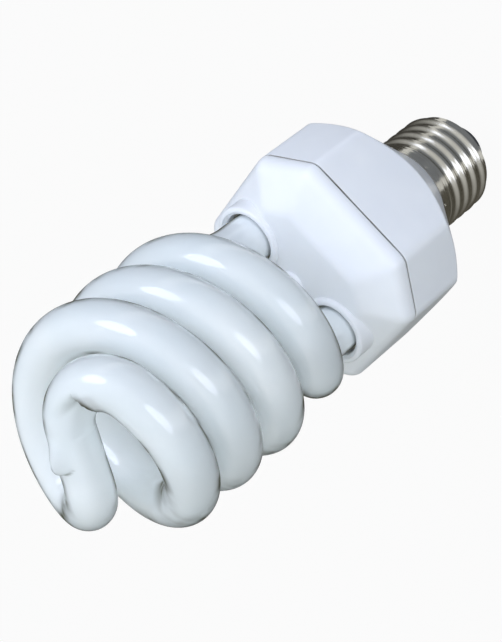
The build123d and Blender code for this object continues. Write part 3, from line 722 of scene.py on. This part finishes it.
leg_end = polar(leg_offset, 0, leg_top)
leg_way = Vector((0, 0, 1))
climb = coil_pitch / (2 * pi)
coil_first = polar(coil_radius, coil_start_angle, coil_start)
coil_last = polar(coil_radius, coil_start_angle + coil_turn, coil_end)
first_way = polar(coil_radius, coil_start_angle + pi / 2, climb).normalized()
last_way = polar(coil_radius, coil_start_angle + coil_turn + pi / 2, climb).normalized()
bridge_end = polar(bridge_half, bridge_angle, bridge_height)
bridge_way = polar(-1, bridge_angle, 0)
leg_meeting = arc_meeting_point(leg_end, leg_way, coil_first, first_way)
bridge_meeting = arc_meeting_point(coil_last, last_way, bridge_end, bridge_way)
leg_meeting_way = leg_way.reflect((leg_meeting - leg_end).normalized()) * -1
bridge_meeting_way = last_way.reflect((bridge_meeting - coil_last).normalized()) * -1
coil_step = Matrix.Translation((0, 0, climb * coil_turn / coil_steps))
coil_step = coil_step @ Matrix.Rotation(coil_turn / coil_steps, 4, "Z")
# Each run of a strand: the move to its next ring, the number of rings, and the share of width that is left
runs = [
    (Matrix.Translation((0, 0, (leg_top - tube_low.z - foot_rounding) / leg_steps)), leg_steps, 1),
    (arc_step(leg_end, leg_way, leg_meeting, leg_bend_steps), leg_bend_steps, 1),
    (arc_step(leg_meeting, leg_meeting_way, coil_first, leg_bend_steps), leg_bend_steps, 1),
    (coil_step, coil_steps, 1),
    (arc_step(coil_last, last_way, bridge_meeting, bend_steps), bend_steps, 1),
    (arc_step(bridge_meeting, bridge_meeting_way, bridge_end, bridge_bend_steps),
     bridge_bend_steps, bridge_share),
    (Matrix.Translation(bridge_way * bridge_half / bridge_steps), bridge_steps - 1, 1),
]
half_turn = Matrix.Rotation(pi, 4, "Z")
mesh = bmesh.new()
ends = []
for about in (Matrix.Identity(4), half_turn):
    axis = about @ Vector((leg_offset, 0, 0))
    middle = polar(leg_offset, 0, tube_low.z + foot_rounding)
    ring = ring_of(mesh, tube_segments, tube_radius, middle.z)
    for corner in {corner for edge in ring for corner in edge.verts}:
        corner.co = about @ (corner.co + Vector((leg_offset, 0, 0)))
    foot = ring
    for step in range(1, foot_steps + 1):
        drop = middle.z - foot_rounding * sin(pi / 2 * step / foot_steps)
        change = foot_share(step) / foot_share(step - 1)
        foot = grow(mesh, foot, lambda spot: Vector((*(axis.xy + (spot.xy - axis.xy) * change), drop)))
    bmesh.ops.contextual_create(mesh, geom=foot)
    for step, count, share in runs:
        turned_step = about @ step @ about.inverted()
        thin = share ** (1 / count)
        for number in range(count):
            middle = step @ middle
            heart = about @ middle
            ring = grow(mesh, ring, lambda spot: heart + (turned_step @ spot - heart) * thin)
    ends += ring
bmesh.ops.bridge_loops(mesh, edges=ends)

# The bend of the second strand folds in on its inner side, where the hot glass gave way. The fold starts
# with a steep, undercut lip and runs out flat, and spans some radians of the tube's girth.
fold_back = 1.5 * mm
fold_depth = 3.0 * mm
fold_length = 11.0 * mm
fold_cliff = 0.5 * mm
fold_lip = 2.0 * mm
fold_undercut = 1.5 * mm
fold_reach = 1.4 * tube_radius
fold_first, fold_last, fold_fade = -0.3, 1.2, 0.8
# Strength and reach of the painted shade mark at the fold's lip
mark_strength, mark_length = 1.6, 1.0 * mm
fold_way = half_turn @ bridge_meeting_way
fold_spot = half_turn @ bridge_meeting - fold_way * fold_back
fold_inside = half_turn @ (bridge_end - bridge_meeting)
fold_inside = (fold_inside - fold_way * fold_inside.dot(fold_way)).normalized()
fold_front = fold_way.cross(fold_inside)
# Corners at the fold's lip get a painted shade mark, which darkens the glass there
crease = mesh.verts.layers.float.new("crease_shade")
for corner in mesh.verts:
    along = (corner.co - fold_spot).dot(fold_way)
    aside = corner.co - fold_spot - fold_way * along
    if -fold_lip < along < fold_length and aside.length < fold_reach:
        turn = atan2(aside.dot(fold_front), aside.dot(fold_inside))
        window = ease(turn - fold_first) * (1 - ease((turn - fold_last) / fold_fade))
        share = ease(along / fold_cliff) * (1 - ease(along / fold_length))
        corner[crease] = min(1, window * max(0, mark_strength - abs(along) / mark_length))
        corner.co -= aside.normalized() * fold_depth * window * share
        corner.co -= fold_way * fold_undercut * window * share * (1 - ease(along / fold_lip))

# The nub on the bridge is steep on one side and runs out on the other
nub_offset = 1.1 * mm
nub_middle = polar(-nub_offset, bridge_angle, bridge_height)
nub_rise = tube_high.z - bridge_height - tube_radius * bridge_share
nub_half = 3.4 * mm
nub_nose = 2.8 * mm
nub_tail = 7.0 * mm
nub_mark = 0.2
for corner in mesh.verts:
    spot = corner.co - nub_middle
    along, across = spot.dot(bridge_way), abs(spot.dot(bridge_way.cross(leg_way))) / nub_half
    if spot.z > 0 and across < 1:
        if along > 0:
            rise = 1 - ease(along / nub_tail)
        else:
            ahead = -along / (nub_nose * sqrt(1 - across ** 2))
            rise = sqrt(max(0, 1 - ahead ** 2))
            # Painted shade along the nub's steep foot, in the crease it makes with the bridge
            corner[crease] += max(0, 1 - abs(ahead - 1) / nub_mark) * (1 - across ** 2)
        corner.co.z += nub_rise * rise * (1 - ease(across))
# Opal lamp glass: clear shiny glass over an even white coat. Painted grey-green lines darken it where the
# surface turns away from view, as a painted dark reflection broken up by noise, and painted shade darkens
# the fold and the crease of the nub.
# Above the legs some light passes through the hollow tube, which evens out its shade.
opal, shader = material("opal_lamp_glass")
spot = add_node(shader, "ShaderNodeTexCoord").outputs["Object"]
clouds = add_node(shader, "ShaderNodeTexNoise", {"Vector": spot, "Scale": 1 / (14 * mm)}).outputs["Fac"]
share = add_node(shader, "ShaderNodeMapRange", {"Value": clouds, **noise_span})
tone = add_node(shader, "ShaderNodeMix", {
    "Factor": share.outputs["Result"], 6: colour("F0F6F8"), 7: colour("F6FAFB"),
}, data_type="RGBA")
# Painted dark reflection: towards the edges seen from the camera the colour turns grey-green and the coat
# weight drops, in patches set by noise
facing = add_node(shader, "ShaderNodeLayerWeight", {"Blend": 0.5}).outputs["Facing"]
edge = add_node(shader, "ShaderNodeMapRange", {"Value": facing, "From Min": 0.6, "From Max": 0.82})
broken = add_node(shader, "ShaderNodeTexNoise", {"Vector": spot, "Scale": 1 / (8 * mm)}).outputs["Fac"]
broken = add_node(shader, "ShaderNodeMapRange", {"Value": broken, "From Min": 0.4, "From Max": 0.6})
edge = add_node(shader, "ShaderNodeMath", {
    0: edge.outputs["Result"], 1: broken.outputs["Result"],
}, operation="MULTIPLY")
# Painted shade from the marks on the fold's lip and under the nub
crease_shade = add_node(shader, "ShaderNodeAttribute", attribute_name="crease_shade").outputs["Fac"]
edge = add_node(shader, "ShaderNodeMath", {0: edge.outputs[0], 1: crease_shade}, operation="MAXIMUM").outputs[0]
tone = add_node(shader, "ShaderNodeMix", {
    "Factor": edge, 6: tone.outputs[2], 7: colour("545340"),
}, data_type="RGBA")
shine = add_node(shader, "ShaderNodeMapRange", {"Value": edge, "To Min": 1.0, "To Max": 0.3})
height = add_node(shader, "ShaderNodeSeparateXYZ", {"Vector": spot}).outputs["Z"]
passing = add_node(shader, "ShaderNodeMapRange", {
    "Value": height, "From Min": collar_rim, "From Max": leg_top + tube_radius, "To Min": 0.0, "To Max": 0.4,
})
waves = add_node(shader, "ShaderNodeTexNoise", {"Vector": spot, "Scale": 1 / (9 * mm)}).outputs["Fac"]
ripple = add_node(shader, "ShaderNodeBump", {"Height": waves, "Distance": 0.06 * mm})
wire(shader, Base_Color=tone.outputs[2], Transmission_Weight=passing.outputs["Result"],
     Coat_Weight=shine.outputs["Result"], Coat_Normal=ripple.outputs["Normal"])
shader.inputs["Roughness"].default_value = 0.7
shader.inputs["Specular IOR Level"].default_value = 0.2
shader.inputs["IOR"].default_value = 1.15
shader.inputs["Coat IOR"].default_value = 1.75
shader.inputs["Coat Roughness"].default_value = 0.06
tube = piece("discharge_tube_glass", mesh, opal)
seat(tube, "opal_glass", "discharge_tube")

# Floor
# A pale sheet of matt card, far larger than the view. It is white to the camera and in reflections,
# and keeps a faint shadow.
floor_half = 4.0
floor_glow = 0.95
mesh = bmesh.new()
bmesh.ops.create_grid(mesh, x_segments=8, y_segments=8, size=floor_half)
# Matt card with faint clouds
floor_finish, shader = material("pale_floor")
spot = add_node(shader, "ShaderNodeTexCoord").outputs["Object"]
clouds = add_node(shader, "ShaderNodeTexNoise", {"Vector": spot, "Scale": 1 / (400 * mm)}).outputs["Fac"]
share = add_node(shader, "ShaderNodeMapRange", {"Value": clouds, **noise_span})
tone = add_node(shader, "ShaderNodeMix", {
    "Factor": share.outputs["Result"], 6: colour("8E8E8E"), 7: colour("949494"),
}, data_type="RGBA")
wire(shader, Base_Color=tone.outputs[2])
shader.inputs["Roughness"].default_value = 0.9
shader.inputs["Specular IOR Level"].default_value = 0.0
path = add_node(shader, "ShaderNodeLightPath").outputs
seen = add_node(shader, "ShaderNodeMath", {
    0: path["Is Camera Ray"], 1: path["Is Glossy Ray"],
}, operation="MAXIMUM")
seen = add_node(shader, "ShaderNodeMath", {
    0: seen.outputs[0], 1: path["Is Transmission Ray"],
}, operation="MAXIMUM")
share = add_node(shader, "ShaderNodeMath", {0: seen.outputs[0], 1: floor_glow}, operation="MULTIPLY")
glow = add_node(shader, "ShaderNodeEmission", {"Strength": 1.0})
blend = add_node(shader, "ShaderNodeMixShader", {
    0: share.outputs[0], 1: shader.outputs[0], 2: glow.outputs[0],
})
wire(floor_finish.node_tree.nodes["Material Output"], Surface=blend.outputs[0])
floor = piece("floor", mesh, floor_finish)

# Room light
# A pale room that is brighter and bluer on the left of the picture and dimmer and greener on the right.
# The camera, reflections and what is seen through glass get an even white.
bright_side = (-0.67, 0.73, -0.04)
world = bpy.data.worlds.new("pale_room")
bpy.context.scene.world = world
world.use_nodes = True
air = world.node_tree.nodes["Background"]
path = add_node(air, "ShaderNodeLightPath").outputs
seen = add_node(air, "ShaderNodeMath", {
    0: path["Is Camera Ray"], 1: path["Is Glossy Ray"],
}, operation="MAXIMUM")
seen = add_node(air, "ShaderNodeMath", {
    0: seen.outputs[0], 1: path["Is Transmission Ray"],
}, operation="MAXIMUM")
way = add_node(air, "ShaderNodeTexCoord").outputs["Generated"]
facing = add_node(air, "ShaderNodeVectorMath", {
    0: way, 1: bright_side,
}, operation="DOT_PRODUCT").outputs["Value"]
glow = add_node(air, "ShaderNodeMapRange", {
    "Value": facing, "From Min": -1.0, "From Max": 1.0, "To Min": 0.38, "To Max": 1.5,
})
glow = add_node(air, "ShaderNodeMix", {0: seen.outputs[0], 2: glow.outputs["Result"], 3: 1.0})
share = add_node(air, "ShaderNodeMapRange", {"Value": facing, "From Min": -1.0, "From Max": 1.0})
tone = add_node(air, "ShaderNodeMix", {
    "Factor": share.outputs["Result"], 6: colour("EEF5EA"), 7: colour("E8EFFF"),
}, data_type="RGBA")
tone = add_node(air, "ShaderNodeMix", {
    "Factor": seen.outputs[0], 6: tone.outputs[2], 7: colour("FFFFFF"),
}, data_type="RGBA")
wire(air, Color=tone.outputs[2], Strength=glow.outputs[0])

# Soft boxes
# Two large round soft boxes in front, left and right of the camera. Each has its direction from the
# lamp, its power and its colour.
aim = Vector((0.84 * mm, -0.10 * mm, shell_high.z + 58.98 * mm))
box_distance = 0.9
box_size = 0.48
soft_boxes = {
    "left_box": (Vector((-0.58, 0.41, 0.70)), 2.0, "DCE4FF"),
    "right_box": (Vector((0.53, 0.75, 0.38)), 1.3, "E6ECFF"),
}
for name, (way, power, tint) in soft_boxes.items():
    lamp = bpy.data.lights.new(name, "AREA")
    lamp.shape = "DISK"
    lamp.size = box_size
    lamp.energy = power
    lamp.color = colour(tint)[:3]
    made = bpy.data.objects.new(name, lamp)
    made.location = aim + way.normalized() * box_distance
    made.rotation_euler = way.to_track_quat("Z", "Y").to_euler()
    made.visible_camera = False
    bpy.context.collection.objects.link(made)

# Cards
# Grey cards round the foot that rise to a wall and fade to white upwards. They are seen only in
# reflections, where they draw the dark edges of metal and glass. Each spans two angles and has its grey.
cards = {
    "left_card": (152, 300, "4C4A46"),
    "front_card": (62, 138, "8A8E96"),
    "right_card": (-60, 46, "605D55"),
}
card_start, card_reach = 1 * mm, 1.2
card_low, card_fade, card_high = 0.5 * mm, 0.05, 1.2
for name, (first, last, shade) in cards.items():
    mesh = bmesh.new()
    edge = [mesh.verts.new(polar(reach, radians(first), height))
            for reach, height in ((card_start, card_low), (card_reach, card_low), (card_reach, card_high))]
    edge += [mesh.edges.new(edge[:2]), mesh.edges.new(edge[1:])]
    bmesh.ops.spin(mesh, geom=edge, cent=(0, 0, 0), axis=(0, 0, 1), angle=radians(last - first), steps=32)
    card_finish, shader = material(name)
    spot = add_node(shader, "ShaderNodeTexCoord").outputs["Object"]
    height = add_node(shader, "ShaderNodeSeparateXYZ", {"Vector": spot}).outputs["Z"]
    share = add_node(shader, "ShaderNodeMapRange", {
        "Value": height, "From Min": card_fade, "From Max": card_high,
    })
    tone = add_node(shader, "ShaderNodeMix", {
        "Factor": share.outputs["Result"], 6: colour(shade), 7: colour("FFFFFF"),
    }, data_type="RGBA")
    glow = add_node(shader, "ShaderNodeEmission", {"Color": tone.outputs[2]})
    wire(card_finish.node_tree.nodes["Material Output"], Surface=glow.outputs[0])
    card = piece(name, mesh, card_finish)
    card.visible_camera = card.visible_diffuse = card.visible_shadow = card.visible_transmission = False

# Camera
# Placed and turned as the photo was taken: from above the tip, with the lamp lying across the picture.
lens = bpy.data.cameras.new("camera")
lens.sensor_fit = "HORIZONTAL"
lens.sensor_width = 36.0
lens.lens = 136.55
roll = radians(-128.63)
camera = bpy.data.objects.new("camera", lens)
camera.location = Vector((43.688 * mm, 350.351 * mm, shell_high.z + 313.935 * mm))
look = (aim - camera.location).to_track_quat("-Z", "Y").to_matrix().to_4x4()
camera.rotation_euler = (look @ Matrix.Rotation(roll, 4, "Z")).to_euler()
bpy.context.collection.objects.link(camera)
bpy.context.scene.camera = camera
bpy.context.scene.view_settings.view_transform = "Standard"
